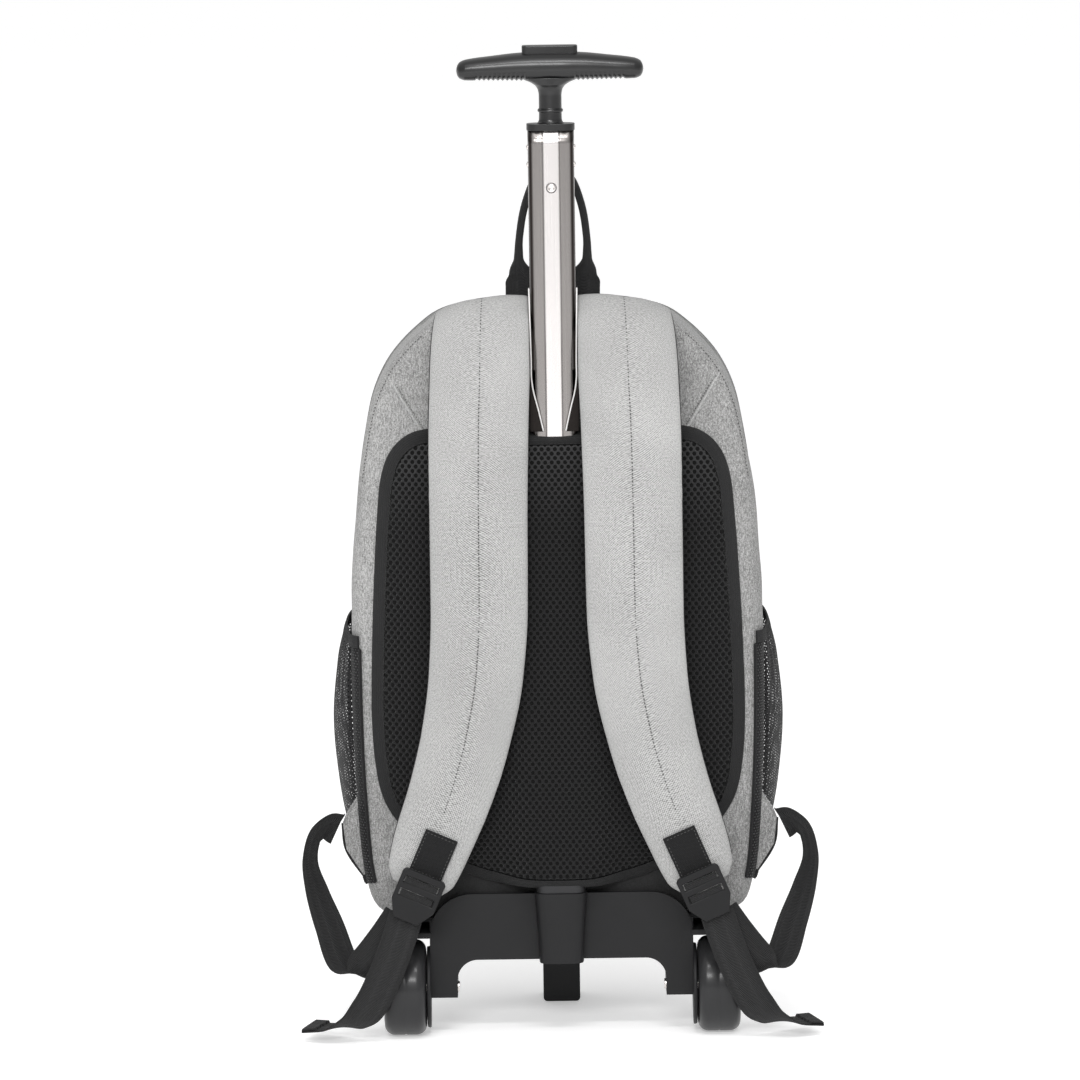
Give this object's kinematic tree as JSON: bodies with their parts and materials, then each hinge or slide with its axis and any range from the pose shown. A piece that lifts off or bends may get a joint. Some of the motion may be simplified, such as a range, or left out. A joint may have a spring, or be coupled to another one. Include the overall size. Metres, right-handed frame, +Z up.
{
  "type": "wheeled backpack",
  "caption": "Heather-grey backpack on wheels with a padded mesh back, shoulder straps, mesh side pockets and a steel pull handle with a T-grip.",
  "frame": {"origin": "middle of the base, on the floor under the centre of the overall box", "axes": "+Z up along the pull handle; -Y is the side with the shoulder straps; +X to the right seen from that side"},
  "size_m": [0.3828, 0.2346, 0.7261],
  "materials": {
    "heather_fabric": "matte",
    "strap_fabric": "matte",
    "spacer_mesh": "matte",
    "binding": "matte",
    "pocket_mesh": "matte",
    "webbing": "matte",
    "lining": "matte",
    "zip": "satin",
    "buckle_plastic": "satin",
    "chassis_plastic": "matte",
    "grip_plastic": "satin",
    "steel": "satin",
    "sleeve_metal": "satin",
    "wheel_rubber": "gloss",
    "wheel_plastic": "gloss"
  },
  "bodies": {
    "pack": {"rear_gusset": "heather_fabric", "front_gusset": "heather_fabric", "bottom_panel": "heather_fabric", "back_panel": "heather_fabric", "front_panel": "heather_fabric", "side_tab_right": "heather_fabric", "side_tab_left": "heather_fabric", "shoulder_strap_right": "strap_fabric", "shoulder_strap_left": "strap_fabric", "back_pad": "spacer_mesh", "pad_binding": "binding", "side_pocket_right": "pocket_mesh", "side_pocket_left": "pocket_mesh", "strap_patch_right": "webbing", "strap_patch_left": "webbing", "webbing_loop_right": "webbing", "webbing_loop_left": "webbing", "webbing_tail_right": "webbing", "webbing_tail_left": "webbing", "tail_hem_right": "webbing", "tail_hem_left": "webbing", "pocket_band_right": "webbing", "pocket_band_left": "webbing", "grab_handle": "webbing", "tube_flap_right": "lining", "tube_flap_left": "lining", "zip_tape": "zip", "ladder_lock_right": "buckle_plastic", "ladder_lock_left": "buckle_plastic", "zip_slider": "buckle_plastic", "chassis": "chassis_plastic", "front_foot": "chassis_plastic", "axle_right": "steel", "axle_left": "steel", "outer_sleeve": "sleeve_metal"},
    "handle": {"steel_tube": "steel", "tube_pin": "steel", "tube_collar": "grip_plastic", "t_grip": "grip_plastic"},
    "button": {"release_button": "grip_plastic"},
    "wheel_right": {"tyre_right": "wheel_rubber", "wheel_hub_right": "wheel_plastic"},
    "wheel_left": {"tyre_left": "wheel_rubber", "wheel_hub_left": "wheel_plastic"}
  },
  "joints": [
    {"name": "handle_slide", "type": "slide", "parent": "pack", "child": "handle", "axis": [0, 0, 1], "range_m": [-0.14, 0]},
    {"name": "button_press", "type": "slide", "parent": "handle", "child": "button", "axis": [0, 0, 1], "range_m": [-0.003, 0], "stiffness_N_per_m": 900, "springref_m": 0.001},
    {"name": "wheel_right_spin", "type": "hinge", "parent": "pack", "child": "wheel_right", "pos_m": [0.115, -0.0679, 0.035], "axis": [1, 0, 0], "continuous": true},
    {"name": "wheel_left_spin", "type": "hinge", "parent": "pack", "child": "wheel_left", "pos_m": [-0.115, -0.0679, 0.035], "axis": [1, 0, 0], "continuous": true}
  ]
}
